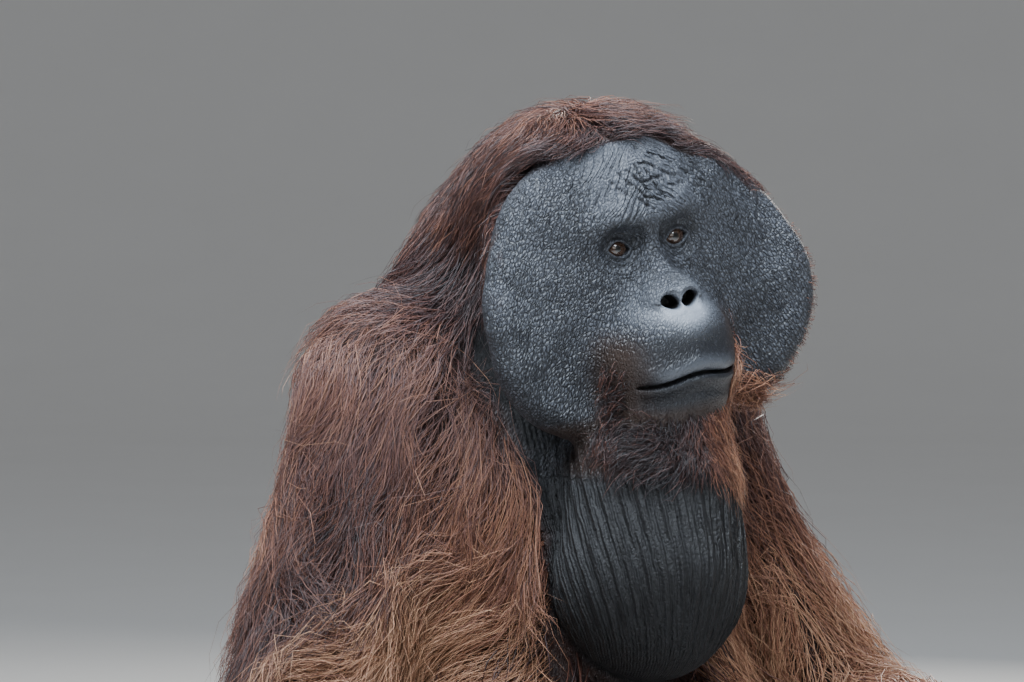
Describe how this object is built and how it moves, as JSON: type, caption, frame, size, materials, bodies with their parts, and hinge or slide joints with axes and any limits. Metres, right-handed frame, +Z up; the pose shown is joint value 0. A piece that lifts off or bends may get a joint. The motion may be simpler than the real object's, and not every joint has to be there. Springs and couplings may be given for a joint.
{
  "type": "orangutan",
  "caption": "Life-size adult male orangutan with broad cheek pads and a throat sac, sitting with its forearms laid over its knees.",
  "frame": {"origin": "on the floor under the middle of the seat", "axes": "+Z up; the animal faces -Y and its left side is +X"},
  "size_m": [0.721, 0.7892, 0.9119],
  "materials": {
    "face_skin": "dark slate skin, finely wrinkled",
    "sac_skin": "charcoal skin in long folds",
    "hand_skin": "dark bare skin",
    "coat": "long reddish-brown hair",
    "coat_dark": "long dark brown hair",
    "eye": "wet and glossy"
  },
  "bodies": {
    "root": {"head": "face_skin", "cheek_pad_left": "face_skin", "ear_left": "face_skin", "eye_left": "eye", "cheek_pad_right": "face_skin", "ear_right": "face_skin", "eye_right": "eye", "throat_sac": "sac_skin", "neck": "coat_dark", "torso": "coat", "upper_arm_left": "coat", "forearm_left": "coat", "hand_left": "hand_skin", "thigh_left": "coat", "shin_left": "coat", "foot_left": "hand_skin", "upper_arm_right": "coat", "forearm_right": "coat", "hand_right": "hand_skin", "thigh_right": "coat", "shin_right": "coat", "foot_right": "hand_skin"}
  },
  "joints": []
}
